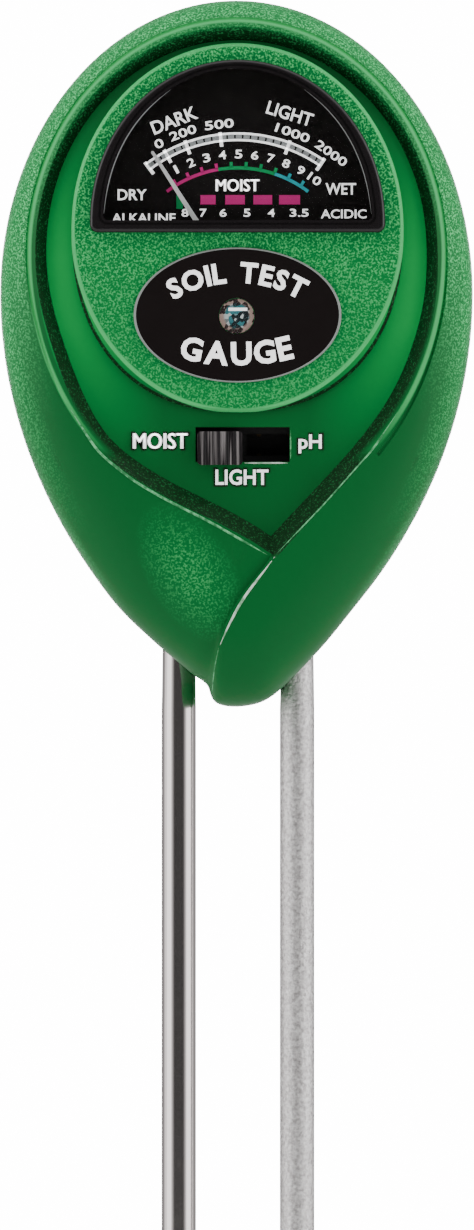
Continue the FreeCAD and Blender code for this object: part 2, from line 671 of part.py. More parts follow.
# ---- selector switch ------------------------------------------------------------------------
def build_switch_knob():
    y_back = -14.9
    cap = box(KNOB_X, (KNOB_FRONT_Y, y_back), KNOB_Z)
    upright = [e for e in cap.Edges if e.BoundBox.YLength > 1]
    cap = cap.makeFillet(0.5, upright)
    pitch = (KNOB_X[1] - KNOB_X[0]) / 6
    grooves = [rod_z(KNOB_X[0] + pitch * (k + 1), KNOB_FRONT_Y, 0.3, KNOB_Z[0] - 1, KNOB_Z[1] + 1)
               for k in range(5)]
    cap = cap.cut(grooves)
    neck = box((-4.9, 0.3), (y_back, -11.5), (221.5, 225.1))
    return cap.fuse(neck)


def build_switch_slider():
    lug = box((-4.4, -0.2), (-11.5, -10.2), (222.3, 224.7))
    carriage = box((-6.0, 1.4), (-10.4, -7.5), (221.0, 226.0))
    return fuse(carriage, lug)


def build_switch_contacts():
    strips = [box((-5.8, -0.9), (-7.5, -7.15), (z - 0.6, z + 0.6)) for z in TERMINAL_Z]
    return Part.makeCompound(strips)


def build_switch_case():
    case = box(CASE_X, CASE_Y, CASE_Z)
    inner = box((CASE_X[0] + 0.4, CASE_X[1] - 0.4), (CASE_Y[0] + 0.4, 0), (CASE_Z[0] + 0.4, CASE_Z[1] - 0.4))
    slot = box((-5.7, 7.6), (-12, -10), (222.0, 225.0))
    return case.cut([inner, slot])


def build_switch_base():
    plate = box((CASE_X[0] + 0.4, CASE_X[1] - 0.4), (-6.4, -5.2), (CASE_Z[0] + 0.4, CASE_Z[1] - 0.4))
    return plate.cut([rod_y(x, z, 0.35, -8, -4) for x in TERMINAL_X for z in TERMINAL_Z])


def build_switch_terminals():
    return Part.makeCompound([rod_y(x, z, 0.35, -7.1, -2.6) for x in TERMINAL_X for z in TERMINAL_Z])


# ---- board ----------------------------------------------------------------------------------
def build_circuit_board():
    board = box(BOARD_X, BOARD_Y, BOARD_Z)
    holes = [rod_y(x, z, 0.35, -6, -2) for x in TERMINAL_X for z in TERMINAL_Z]
    holes += [rod_y(x, z, 1.1, -6, -2) for x, z in BOARD_SCREWS]
    return board.cut(holes)


def build_resistors():
    bodies = []
    for z in (213.0, 215.6):
        body = Part.makeCylinder(0.9, 5.0, V(-1.7, -2.3, z), V(1, 0, 0))
        wire = Part.makeCylinder(0.3, 9.0, V(-3.7, -2.3, z), V(1, 0, 0))
        feet = [rod_y(x, z, 0.3, BOARD_Y[1], -2.3) for x in (-3.4, 5.0)]
        bodies.append(body.fuse([wire] + feet))
    return Part.makeCompound(bodies)


def build_board_screws():
    screws = [screw_y(x, z, BOARD_Y[1], 1.8, 1.1, 0.9, -10.0) for x, z in BOARD_SCREWS]
    return Part.makeCompound(screws)


# ---- probes ---------------------------------------------------------------------------------
def probe_tube(x):
    low, high = PROBE_NECK_Z
    tube = rod_z(x, 0, PROBE_RADIUS, PROBE_CONE, low)
    taper = Part.makeCone(PROBE_RADIUS, PROBE_NECK_RADIUS, high - low, V(x, 0, low), V(0, 0, 1))
    tube = tube.fuse([taper, rod_z(x, 0, PROBE_NECK_RADIUS, high, PROBE_TOP_Z)])
    return tube.cut(rod_z(x, 0, PROBE_BORE, PROBE_CONE - 1, PROBE_TOP_Z + 1))


def probe_tip(x):
    cone = Part.makeCone(0.5, PROBE_RADIUS, PROBE_CONE - 0.4, V(x, 0, 0.4), V(0, 0, 1))
    ball = Part.makeSphere(0.53, V(x, 0, 0.53)).common(rod_z(x, 0, 1, 0, 0.4))
    plug = rod_z(x, 0, PROBE_BORE, PROBE_CONE, PROBE_CONE + 6)
    return cone.fuse([ball, plug])


def build_probe_holder():
    block = box(HOLDER_X, HOLDER_Y, HOLDER_Z)
    corners = [e for e in block.Edges if e.BoundBox.ZLength > 5]
    block = block.makeFillet(2.5, corners)
    return block.cut([rod_z(x, 0, PROBE_NECK_RADIUS, 200, 212) for x in (LEFT_PROBE_X, RIGHT_PROBE_X)])


def build_probe_tags():
    tags = []
    for x in (LEFT_PROBE_X, RIGHT_PROBE_X):
        ring = rod_z(x, 0, 3.4, HOLDER_Z[1], HOLDER_Z[1] + 0.5)
        tab = box((x - 0.9, x + 0.9), (3.0, 5.0), (HOLDER_Z[1], HOLDER_Z[1] + 0.5))
        tags.append(ring.fuse(tab).cut(rod_z(x, 0, PROBE_NECK_RADIUS, 200, 212)))
    return Part.makeCompound(tags)


def build_probe_wires():
    z0 = HOLDER_Z[1] + 0.5
    wires = []
    for x in (LEFT_PROBE_X, RIGHT_PROBE_X):
        points = [V(x, 4.3, z0), V(x, 4.2, z0 + 3.5), V(x, 1.2, z0 + 8.0), V(x, BOARD_Y[1], z0 + 9.0)]
        wires.append(tube_along(points, 0.5, V(0, 0, 1), V(0, -1, 0)))
    return Part.makeCompound(wires)


def build_movement_wires():
    wires = []
    for x in (-5.2, 5.6):
        points = [V(x, BOARD_Y[1], 232.6), V(x, 0.2, 234.6), V(x, 0.2, 238.2), V(x, FRAME_REAR_Y, 239.6)]
        wires.append(tube_along(points, 0.4, V(0, 1, 0), V(0, -1, 0)))
    return Part.makeCompound(wires)


PARTS = {
    "front_shell": build_front_shell,
    "rear_cover": build_rear_cover,
    "cover_screws": build_cover_screws,
    "dial_bezel": build_dial_bezel,
    "dial_window": build_dial_window,
    "dial_plate": build_dial_plate,
    "label_plate": build_label_plate,
    "sensor_window": build_sensor_window,
    "photocell": build_photocell,
    "photocell_leads": build_photocell_leads,
    "movement_frame": build_movement_frame,
    "yoke_ring": build_yoke_ring,
    "core_magnet": build_core_magnet,
    "core_spokes": build_core_spokes,
    "coil": build_coil,
    "coil_former": build_coil_former,
    "front_pivot": build_front_pivot,
    "rear_pivot": build_rear_pivot,
    "front_hairspring": build_front_hairspring,
    "rear_hairspring": build_rear_hairspring,
    "pointer": build_pointer,
    "pointer_weight": build_pointer_weight,
    "front_bridge": build_front_bridge,
    "rear_bridge": build_rear_bridge,
    "front_jewel": build_front_jewel,
    "rear_jewel": build_rear_jewel,
    "bridge_screws": build_bridge_screws,
    "movement_screws": build_movement_screws,
    "switch_knob": build_switch_knob,
    "switch_slider": build_switch_slider,
    "switch_contacts": build_switch_contacts,
    "switch_case": build_switch_case,
    "switch_base": build_switch_base,
    "switch_terminals": build_switch_terminals,
    "circuit_board": build_circuit_board,
    "resistors": build_resistors,
    "board_screws": build_board_screws,
    "bright_probe": lambda: probe_tube(LEFT_PROBE_X),
    "bright_probe_tip": lambda: probe_tip(LEFT_PROBE_X),
    "matt_probe": lambda: probe_tube(RIGHT_PROBE_X),
    "matt_probe_tip": lambda: probe_tip(RIGHT_PROBE_X),
    "probe_holder": build_probe_holder,
    "probe_tags": build_probe_tags,
    "probe_wires": build_probe_wires,
    "movement_wires": build_movement_wires,
}


def main():
    os.makedirs("parts", exist_ok=True)
    for name, build in PARTS.items():
        shape = build()
        solids = shape.Solids
        whole = solids[0] if len(solids) == 1 else Part.makeCompound(solids)
        print(name, len(solids), round(whole.Volume, 2), "valid" if whole.isValid() else "NOT VALID")
        whole.exportStep("parts/" + name + ".step")


if __name__ == "__main__":
    main()
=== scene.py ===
# %% [markdown]
# # A soil meter with three ranges, step by step
# The meter is a green egg-shaped case on two long metal probes. A dial sits behind a half-oval window, a
# slide knob picks moisture, light or acidity, and a small lens lets light in. The solid parts come from
# the CAD frame. This script gives each of them its finish, prints the dial and the words, adds the small
# pieces the frame is too coarse for, and lights the whole.

# %% Load the frame
import bpy
import math
from mathutils import Matrix, Vector


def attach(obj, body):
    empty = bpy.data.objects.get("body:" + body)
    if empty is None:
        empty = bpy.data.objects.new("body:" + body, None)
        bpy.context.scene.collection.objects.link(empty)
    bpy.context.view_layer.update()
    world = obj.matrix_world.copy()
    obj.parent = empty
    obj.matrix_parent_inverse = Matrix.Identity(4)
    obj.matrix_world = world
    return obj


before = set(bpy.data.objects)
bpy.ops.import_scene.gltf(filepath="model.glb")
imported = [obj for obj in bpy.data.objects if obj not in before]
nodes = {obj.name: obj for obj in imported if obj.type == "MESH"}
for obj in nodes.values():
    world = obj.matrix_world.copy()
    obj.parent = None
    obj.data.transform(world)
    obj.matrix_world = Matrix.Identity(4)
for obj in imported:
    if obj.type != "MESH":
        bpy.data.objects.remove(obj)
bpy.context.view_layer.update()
MM = 0.001

# %% [markdown]
# ## Expressions for shader maths
# A pattern on a surface is a sum of simple terms. Nodes wired by hand hide that sum, so one small class
# wraps a socket and turns + - * / into Math nodes. A second class starts a material and adds any other
# node.

# %% A socket that can be used in an expression
class Term:
    def __init__(self, finish, socket):
        self.finish = finish
        self.socket = socket

    def math(self, operation, *others):
        node = self.finish.tree.nodes.new("ShaderNodeMath")
        node.operation = operation
        for place, value in enumerate((self, *others)):
            self.finish.feed(node.inputs[place], value)
        return Term(self.finish, node.outputs[0])

    def __add__(self, other):
        return self.math("ADD", other)

    def __sub__(self, other):
        return self.math("SUBTRACT", other)

    def __mul__(self, other):
        return self.math("MULTIPLY", other)

    def __truediv__(self, other):
        return self.math("DIVIDE", other)

    def __pow__(self, other):
        return self.math("POWER", other)

    def __radd__(self, other):
        return self.finish.constant(other).math("ADD", self)

    def __rsub__(self, other):
        return self.finish.constant(other).math("SUBTRACT", self)

    def __rmul__(self, other):
        return self.finish.constant(other).math("MULTIPLY", self)

    def __rtruediv__(self, other):
        return self.finish.constant(other).math("DIVIDE", self)

    def over(self, edge, width):
        """0 below edge, 1 above it, with a soft step of that width."""
        return ((self - (edge - width / 2)) / width).math("MAXIMUM", 0.0).math("MINIMUM", 1.0)

    def under(self, edge, width):
        return 1 - self.over(edge, width)

# %% A finish: a material and its nodes
class Finish:
    def __init__(self, name, **constants):
        self.material = bpy.data.materials.new(name)
        self.material.use_nodes = True
        self.tree = self.material.node_tree
        self.shader = self.tree.nodes["Principled BSDF"]
        for key, value in constants.items():
            socket = self.shader.inputs[key.replace("_", " ")]
            socket.default_value = (*value, 1.0) if isinstance(value, tuple) else value

    def feed(self, socket, value):
        if isinstance(value, Term):
            self.tree.links.new(value.socket, socket)
        elif isinstance(value, tuple) and socket.type == "RGBA":
            socket.default_value = (*value, 1.0)
        else:
            socket.default_value = value

    def constant(self, number):
        node = self.tree.nodes.new("ShaderNodeValue")
        node.outputs[0].default_value = number
        return Term(self, node.outputs[0])

    def node(self, kind, settings=None, output=0, **inputs):
        node = self.tree.nodes.new("ShaderNode" + kind)
        for key, value in (settings or {}).items():
            setattr(node, key, value)
        for key, value in inputs.items():
            self.feed(node.inputs[key.replace("_", " ")], value)
        return Term(self, node.outputs[output])

    def mix(self, factor, first, second):
        node = self.tree.nodes.new("ShaderNodeMix")
        node.data_type = "RGBA"
        self.feed(node.inputs[0], factor)
        self.feed(node.inputs[6], first)
        self.feed(node.inputs[7], second)
        return Term(self, node.outputs[2])

    def place(self):
        """The point on the piece, in metres, as x, y and z."""
        spot = self.node("TexCoord", output="Object")
        split = self.tree.nodes.new("ShaderNodeSeparateXYZ")
        self.feed(split.inputs[0], spot)
        return spot, *(Term(self, split.outputs[k]) for k in range(3))

    def lean(self):
        """The direction the surface faces, as x, y and z."""
        split = self.tree.nodes.new("ShaderNodeSeparateXYZ")
        self.feed(split.inputs[0], self.node("NewGeometry", output="Normal"))
        return [Term(self, split.outputs[k]) for k in range(3)]

    def noise(self, spot, grain_mm, detail=2.0, roughness=0.5):
        return self.node("TexNoise", output="Fac", Vector=spot, Scale=1 / (grain_mm * MM), Detail=detail,
                         Roughness=roughness)

    def drawn_out(self, spot, x, y, z):
        """The point with its x, y and z scaled, which draws a pattern out along the smallest."""
        node = self.tree.nodes.new("ShaderNodeVectorMath")
        node.operation = "MULTIPLY"
        self.feed(node.inputs[0], spot)
        node.inputs[1].default_value = (x, y, z)
        return Term(self, node.outputs[0])

    def bump(self, height, depth_mm, strength=1.0):
        node = self.tree.nodes.new("ShaderNodeBump")
        node.inputs["Distance"].default_value = depth_mm * MM
        self.feed(node.inputs["Strength"], strength)
        self.feed(node.inputs["Height"], height)
        self.tree.links.new(node.outputs[0], self.shader.inputs["Normal"])

    def set(self, **inputs):
        for key, value in inputs.items():
            self.feed(self.shader.inputs[key.replace("_", " ")], value)
        return self


def dress(finish, *names):
    """Give CAD nodes a finish."""
    for name in names:
        mesh = nodes[name].data
        mesh.materials.clear()
        mesh.materials.append(finish.material)
        print(name, "wears", finish.material.name)

# %% [markdown]
# ## The green case
# The case is moulded in one piece, but its mould has zones: a coarse grain on the outer band, on the pad and
# on the steep wall of the recess, and a smooth satin on the leaves and on the inner face. The zones could be
# painted face by face. Here they follow from the place on the piece, which is how far it lies from the
# outline, the recess and the pad, so their borders stay clean at any mesh size. Light and shade are painted
# into the colour as well: the glints of the grain as pale flecks, a lighter green on the sides of the inner
# face as painted light, a near-black wall of the recess as painted shade, and pale highlight lines on the
# pad's edge and the leaf bead.

# %% Where the band, the pad and the wall lie
CENTRE_Z = 244.4 * MM
HALF_WIDTH = 32.7 * MM
UP = 40.6 * MM
DOWN = 56.9 * MM
RECESS_Z = 249.8 * MM
RECESS_HALF_WIDTH = 27.75 * MM
RECESS_UP = 31.3 * MM
RECESS_DOWN = 34.5 * MM
PAD_X, PAD_Z = 0.14 * MM, 253.4 * MM
PAD_HALF_WIDTH, PAD_HALF_HEIGHT = 22.9 * MM, 25.45 * MM


def outline_level(x, z):
    """1 on the outline of the case and less inside it."""
    across = (x / HALF_WIDTH).math("ABSOLUTE")
    high = (z - CENTRE_Z) / UP
    low = (CENTRE_Z - z) / DOWN
    above = (across * across + high * high) ** 0.5
    below = ((across ** 1.25) + low * low) ** 0.8
    top_half = z.over(CENTRE_Z, 0.2 * MM)
    return above * top_half + below * (1 - top_half)


def recess_level(x, z):
    """1 on the leaf edge over the crown and the sides, less inside the recess."""
    across = x / RECESS_HALF_WIDTH
    up = (z - RECESS_Z).math("MAXIMUM", 0.0) / RECESS_UP
    down = (RECESS_Z - z).math("MAXIMUM", 0.0) / RECESS_DOWN
    return (across * across + up * up + down * down) ** 0.5


def pad_level(x, z):
    """1 on the edge of the raised pad."""
    across = (x - PAD_X) / PAD_HALF_WIDTH
    high = (z - PAD_Z) / PAD_HALF_HEIGHT
    return (across * across + high * high) ** 0.5


def left_patch(x, z):
    """1 on the grained oval patch of the left leaf, where painted glints stand for a reflection."""
    across = x + 6.3 * MM
    up = z - 205.8 * MM
    along = (across * 0.52 - up * 0.85) / (10.0 * MM)
    aside = (across * 0.85 + up * 0.52) / (5.5 * MM)
    reach = (along * along + aside * aside) ** 0.5
    on_left_leaf = (x - (z - 203.2 * MM) * 0.55).under(0.7 * MM, 0.8 * MM)
    return reach.under(0.65, 0.9) * on_left_leaf * z.over(194 * MM, 3 * MM)

# %% The green finish
LEAF_GREEN = (0.004, 0.138, 0.028)
# Painted light: the lighter green on the sides of the inner face.
PAINTED_LIGHT_GREEN = (0.002, 0.480, 0.092)
GRAIN_GREEN = (0.004, 0.230, 0.050)
# Painted highlight: the pale green of the grain's glints and of the lines on the pad's edge and the leaf
# bead.
PAINTED_HIGHLIGHT_GREEN = (0.12, 0.92, 0.28)
# Painted shade: the near-black green of the steep wall of the recess.
PAINTED_SHADE_GREEN = (0.001, 0.030, 0.006)
CASE_GRAIN = 0.27
GRAIN_DEPTH = 0.10

green = Finish("green_case_with_painted_light", Roughness=0.4, Specular_IOR_Level=0.14)
spot, x, y, z = green.place()
face_y = green.lean()[1]
outline = outline_level(x, z)
inside = recess_level(x, z)
pad_place = pad_level(x, z)
raised = y.under(-14.9 * MM, 0.4 * MM)
pad = pad_place.under(1.0, 0.01) * raised
rim = outline.over(0.976, 0.04) * z.over(204 * MM, 10 * MM) * 0.5
band = (outline.over(0.925, 0.10) * z.over(226 * MM, 30 * MM)).math(
    "MAXIMUM", inside.over(1.045, 0.02) * z.over(240 * MM, 26 * MM) * outline.over(0.86, 0.10))
# The wall mask marks the steep wall of the recess. It is painted near black as shade and also gets the
# grain.
wall = face_y.over(-0.77, 0.08) * inside.under(1.22, 0.02) * outline.under(0.90, 0.02) * (1 - pad)
wall = wall * y.under(-10.0 * MM, 0.5 * MM) * (1 - inside.over(1.005, 0.02) * z.over(222 * MM, 2 * MM))
# Painted light: the sides of the inner face are lighter, fading out towards the top and the bottom.
painted_light = (x / (26.0 * MM)).math("ABSOLUTE").over(0.66, 0.55) * z.over(227 * MM, 26 * MM)
painted_light = painted_light * z.under(262 * MM, 26 * MM) * inside.under(0.99, 0.02)
grain = green.noise(spot, CASE_GRAIN, 1.0, 0.6)
grained = (pad + band.math("MAXIMUM", rim)).math("MINIMUM", 1.0)
grained = grained.math("MAXIMUM", left_patch(x, z) * 0.45)
smooth_base_with_painted_light = green.mix(painted_light, LEAF_GREEN, PAINTED_LIGHT_GREEN)
base = green.mix(grained, smooth_base_with_painted_light, GRAIN_GREEN)
base = green.mix(wall, base, PAINTED_SHADE_GREEN)
# Painted glints: pale flecks where the grain catches light, fewer on the lower part of the pad so that its
# top reads lighter, and sparse ones on the wall.
painted_glint = grain.over(0.555, 0.16) * grained * (0.8 - pad * z.under(250 * MM, 20 * MM) * 0.35)
painted_glint = painted_glint + grain.over(0.62, 0.08) * wall * 0.13
# Painted highlights: a pale line on the pad's edge and one along the bead of the leaf edge. All painted
# highlights are mixed in as pale green.
painted_pad_edge_highlight = pad_place.over(0.980, 0.008) * pad_place.under(1.004, 0.004) * y.under(-15.0 * MM, 0.1 * MM)
painted_bead_highlight = inside.over(1.020, 0.008) * inside.under(1.042, 0.008) * z.over(226 * MM, 8 * MM) * 0.5
pale = painted_glint.math("MAXIMUM", painted_pad_edge_highlight * 0.6).math("MAXIMUM", painted_bead_highlight).math("MINIMUM", 1.0)
green.set(Base_Color=green.mix(pale, base, PAINTED_HIGHLIGHT_GREEN), Roughness=0.44 - grained * 0.12)
fine = green.noise(spot, 0.9, 1.0, 0.5)
green.bump(grain * (grained + wall).math("MINIMUM", 1.0) + fine * 0.03, GRAIN_DEPTH, 0.8)
dress(green, "front_shell")

# %% [markdown]
# The rear cover is the same plastic with the same grain, strong above and dying away towards the nose, with
# the same painted glints as pale flecks, so that the two halves match along their joint.

# %% The rear cover's finish
cover_green = Finish("grained_green_cover", Roughness=0.35, Specular_IOR_Level=0.14)
spot, x, y, z = cover_green.place()
grain = cover_green.noise(spot, CASE_GRAIN, 1.0, 0.6)
grained = z.over(226 * MM, 30 * MM) * 0.8 + 0.2
base = cover_green.mix(grained, LEAF_GREEN, GRAIN_GREEN)
# Painted glints: pale flecks on the grain of the cover.
cover_green.set(Base_Color=cover_green.mix(grain.over(0.555, 0.16) * grained * 0.8, base, PAINTED_HIGHLIGHT_GREEN))
cover_green.bump(grain * grained, GRAIN_DEPTH, 0.8)
dress(cover_green, "rear_cover")

# %% [markdown]
# ## Blacks, clear plastics and the parts of the dial
# The frame of the dial is gloss black with faint streaks from handling. The label shines less, and the
# dial is a satin black, so that its figures can be read under the clear window.

# %% Black plastics
gloss_black = Finish("gloss_black_bezel", Base_Color=(0.010, 0.008, 0.009), Roughness=0.22)
spot = gloss_black.place()[0]
gloss_black.set(Roughness=0.16 + gloss_black.noise(spot, 3.0, 3.0) * 0.16)
gloss_black.bump(gloss_black.noise(spot, 0.8, 2.0), 0.01, 0.25)
dress(gloss_black, "dial_bezel")

satin_black = Finish("satin_black_dial", Base_Color=(0.010, 0.008, 0.008), Roughness=0.6,
                     Specular_IOR_Level=0.1)
spot = satin_black.place()[0]
satin_black.set(Roughness=0.55 + satin_black.noise(spot, 0.7, 2.0) * 0.12)
dress(satin_black, "dial_plate")

label_black = Finish("printed_black_label", Base_Color=(0.010, 0.007, 0.007), Roughness=0.35,
                     Specular_IOR_Level=0.15)
spot = label_black.place()[0]
label_black.set(Roughness=0.30 + label_black.noise(spot, 4.0, 2.0) * 0.12)
dress(label_black, "label_plate")

# %% [markdown]
# The window over the dial and the lens over the sensor are clear plastic. Real glass shaders bend the
# light and darken what lies behind a thin pane, so both are nearly see-through gloss instead.

# %% Clear window and lens
window = Finish("clear_window", Base_Color=(0.02, 0.02, 0.02), Roughness=0.03, Alpha=0.04)
dress(window, "dial_window")
lens = Finish("clear_lens", Base_Color=(0.20, 0.24, 0.24), Roughness=0.03, Alpha=0.08)
dress(lens, "sensor_window")

# %% [markdown]
# The slide knob is ribbed black plastic. Its ribs are solid in the frame. A grain drawn out along their
# length gives some of them a lighter grey streak, a painted highlight where the ribs catch the light.

# %% The knob
knob_black = Finish("ribbed_black_knob", Base_Color=(0.030, 0.027, 0.028), Roughness=0.30, Coat_Weight=0.4)
spot = knob_black.place()[0]
upright = knob_black.drawn_out(spot, 1.0, 0.03, 0.03)
streaks = knob_black.noise(upright, 0.55, 1.0)
# Painted highlights: lighter grey streaks along some of the ribs.
shine = streaks.over(0.57, 0.12)
knob_black.set(Base_Color=knob_black.mix(shine, (0.010, 0.008, 0.009), (0.24, 0.22, 0.22)))
knob_black.bump(streaks + knob_black.noise(spot, 0.25, 2.0) * 0.3, 0.06, 0.7)
dress(knob_black, "switch_knob")

# %% [markdown]
# ## Metals
# The left probe is plated and polished, so it mirrors the room in long stripes. The right one is blasted,
# and its grain breaks the same stripes into sparks.

# %% The two probes
bright = Finish("polished_plate", Base_Color=(0.66, 0.61, 0.60), Metallic=1.0, Roughness=0.12)
spot = bright.place()[0]
bright.set(Roughness=0.07 + bright.noise(spot, 6.0, 3.0) * 0.08)
dress(bright, "bright_probe", "bright_probe_tip")

matt = Finish("blasted_grey_metal", Base_Color=(0.78, 0.75, 0.74), Metallic=1.0, Roughness=0.38)
spot = matt.place()[0]
sand = matt.noise(spot, 0.50, 4.0, 0.7)
matt.set(Base_Color=matt.mix(sand.over(0.5, 0.3), (0.48, 0.45, 0.45), (0.98, 0.96, 0.95)),
         Roughness=0.26 + sand * 0.22)
matt.bump(sand, 0.16, 0.9)
dress(matt, "matt_probe", "matt_probe_tip")

# %% [markdown]
# The works inside are small metal parts. They differ in colour, shine and grain alone, so one helper makes
# each finish from those numbers.

# %% Metals of the works
def metal(name, colour, roughness, grain_mm, *wearers):
    """A bare metal with a faint grain, on the nodes that wear it."""
    finish = Finish(name, Base_Color=colour, Metallic=1.0, Roughness=roughness)
    spot = finish.place()[0]
    grain = finish.noise(spot, grain_mm, 3.0, 0.6)
    finish.set(Roughness=roughness + (grain - 0.5) * 0.15)
    finish.bump(grain, 0.01, 0.3)
    dress(finish, *wearers)


metal("zinc_plated_screws", (0.62, 0.62, 0.60), 0.3, 0.4, "cover_screws", "bridge_screws", "movement_screws",
      "board_screws")
metal("tinned_wire", (0.70, 0.69, 0.66), 0.3, 0.5, "photocell_leads")
metal("plated_iron", (0.46, 0.46, 0.46), 0.38, 0.8, "yoke_ring")
metal("sintered_magnet", (0.20, 0.20, 0.21), 0.5, 0.3, "core_magnet")
metal("copper_winding", (0.70, 0.30, 0.14), 0.35, 0.15, "coil")
metal("former_sheet", (0.80, 0.80, 0.80), 0.3, 0.5, "coil_former")
metal("hard_steel", (0.50, 0.50, 0.52), 0.2, 0.3, "front_pivot", "rear_pivot")
metal("spring_bronze", (0.62, 0.42, 0.18), 0.3, 0.3, "front_hairspring", "rear_hairspring",
      "probe_tags")
# Painted shade: the terminals inside the switch are near black, so that the slot reads dark.
metal("shade_darkened_terminals", (0.10, 0.07, 0.04), 0.5, 0.3, "switch_terminals")
metal("bridge_brass", (0.75, 0.58, 0.28), 0.3, 0.5, "front_bridge", "rear_bridge", "front_jewel",
      "rear_jewel", "pointer_weight")

# %% [markdown]
# The plastics, the board and the painted parts are made the same way, with faint darker patches, because
# moulded plastic is never one even colour.

# %% Plastics of the works
def plastic(name, colour, roughness, grain_mm, *wearers):
    """A moulded or painted surface, a little darker in patches, on the nodes that wear it."""
    finish = Finish(name, Base_Color=colour, Roughness=roughness)
    spot = finish.place()[0]
    grain = finish.noise(spot, grain_mm, 3.0, 0.6)
    darker = tuple(c * 0.7 for c in colour)
    finish.set(Base_Color=finish.mix(grain.over(0.5, 0.5) * 0.5, colour, darker))
    finish.bump(grain, 0.015, 0.3)
    dress(finish, *wearers)


plastic("moulded_black", (0.03, 0.03, 0.032), 0.5, 0.4, "movement_frame", "core_spokes", "probe_holder")
plastic("black_switch", (0.006, 0.005, 0.005), 0.55, 0.6, "switch_slider", "switch_case")
# Painted shade: the switch base and contacts are near black, so that the slot reads dark.
plastic("shade_darkened_base", (0.010, 0.007, 0.006), 0.5, 0.5, "switch_base")
plastic("shade_darkened_contacts", (0.012, 0.009, 0.007), 0.5, 0.3, "switch_contacts")
plastic("masked_board", (0.02, 0.16, 0.06), 0.35, 1.2, "circuit_board")
plastic("lacquered_resistor", (0.62, 0.46, 0.26), 0.35, 0.6, "resistors")
plastic("red_insulation", (0.45, 0.02, 0.02), 0.4, 0.8, "probe_wires", "movement_wires")
plastic("teal_cell", (0.02, 0.16, 0.18), 0.2, 0.4, "photocell")
plastic("pointer_paint", (0.93, 0.93, 0.93), 0.5, 0.6, "pointer")

# %% [markdown]
# ## Printing
# Words and figures are text turned into thin solid ink, made as wide and as high as each one is on a dial
# of this size. They could be painted on with a picture, but real ink has an edge, and solid ink keeps it
# at any distance. It sits a hundredth of a millimetre in front of the dial and the label, and the words by
# the knob a tenth in front of the case. White ink glows a little, so that it stays white in the dim light
# from in front.

# %% Ink
white_ink = Finish("white_ink", Base_Color=(0.92, 0.92, 0.92), Roughness=0.55, Specular_IOR_Level=0.2,
                   Emission_Color=(1.0, 1.0, 1.0), Emission_Strength=1.1)
grey_ink = Finish("grey_ink", Base_Color=(0.42, 0.44, 0.45), Roughness=0.55, Specular_IOR_Level=0.2)
magenta_ink = Finish("magenta_ink", Base_Color=(0.80, 0.03, 0.28), Roughness=0.55, Specular_IOR_Level=0.2)
green_ink = Finish("green_ink", Base_Color=(0.01, 0.42, 0.13), Roughness=0.55, Specular_IOR_Level=0.2)
cyan_ink = Finish("cyan_ink", Base_Color=(0.02, 0.52, 0.60), Roughness=0.55, Specular_IOR_Level=0.2)
black_ink = Finish("black_ink", Base_Color=(0.004, 0.020, 0.006), Roughness=0.55, Specular_IOR_Level=0.2)
INK_THICKNESS = 0.02 * MM
for ink in (white_ink, grey_ink, magenta_ink, green_ink, cyan_ink, black_ink):
    spot = ink.place()[0]
    ink.set(Roughness=0.48 + ink.noise(spot, 0.6, 2.0) * 0.14)


def place_flat(piece, x_mm, y_mm, z_mm, turn):
    """Stand a flat piece up to face the viewer, turn it clockwise by degrees and apply its place."""
    upright = Matrix.Rotation(math.radians(90), 4, "X")
    turned = Matrix.Rotation(math.radians(turn), 4, "Y")
    moved = Matrix.Translation((x_mm * MM, y_mm * MM, z_mm * MM))
    piece.matrix_world = moved @ turned @ upright @ piece.matrix_world
    bpy.ops.object.transform_apply(location=True, rotation=True, scale=True)


def word(text, width, height, weight=0.0):
    """Thin ink in the shape of a word, flat about the origin, of that size in mm; width 0 keeps its own."""
    bpy.ops.object.select_all(action="DESELECT")
    bpy.ops.object.text_add()
    piece = bpy.context.object
    piece.data.body = text
    piece.data.offset = weight
    piece.data.resolution_u = 3
    piece.data.extrude = 0.01
    bpy.ops.object.convert(target="MESH")
    corners = [Vector(c) for c in piece.bound_box]
    low = Vector([min(c[k] for c in corners) for k in range(3)])
    size = Vector([max(c[k] for c in corners) for k in range(3)]) - low
    tall = height * MM / size.y
    wide = width * MM / size.x if width else tall
    piece.scale = (wide, tall, INK_THICKNESS / size.z)
    piece.location = -Vector([(low[k] + size[k] / 2) * piece.scale[k] for k in range(3)])
    bpy.ops.object.transform_apply(location=True, rotation=True, scale=True)
    return piece, size.x * wide / MM


def join(name, pieces, ink):
    """Join pieces into one piece of ink that rides on the head."""
    bpy.ops.object.select_all(action="DESELECT")
    for piece in pieces:
        piece.select_set(True)
    bpy.context.view_layer.objects.active = pieces[0]
    if len(pieces) > 1:
        bpy.ops.object.join()
    piece = bpy.context.object
    piece.name = name
    piece.data.name = name
    piece.data.materials.clear()
    piece.data.materials.append(ink.material)
    bpy.ops.object.mode_set(mode="EDIT")
    bpy.ops.mesh.select_all(action="SELECT")
    bpy.ops.mesh.remove_doubles(threshold=1e-7)
    bpy.ops.mesh.normals_make_consistent(inside=False)
    bpy.ops.object.mode_set(mode="OBJECT")
    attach(piece, "head")
    print(name, len(piece.data.vertices), "points")
    return piece

# %% [markdown]
# ### The dial
# Every scale is drawn about the pointer's axis. Angles run clockwise from straight up.

# %% The dial's words and figures
PIVOT_X = 0.14
PIVOT_Z = 245.5
DIAL_FACE_Y = -12.62


def on_arc(radius, angle):
    """The place x, z on the dial at that distance from the pointer's axis, in mm."""
    a = math.radians(angle)
    return PIVOT_X + radius * math.sin(a), PIVOT_Z + radius * math.cos(a)


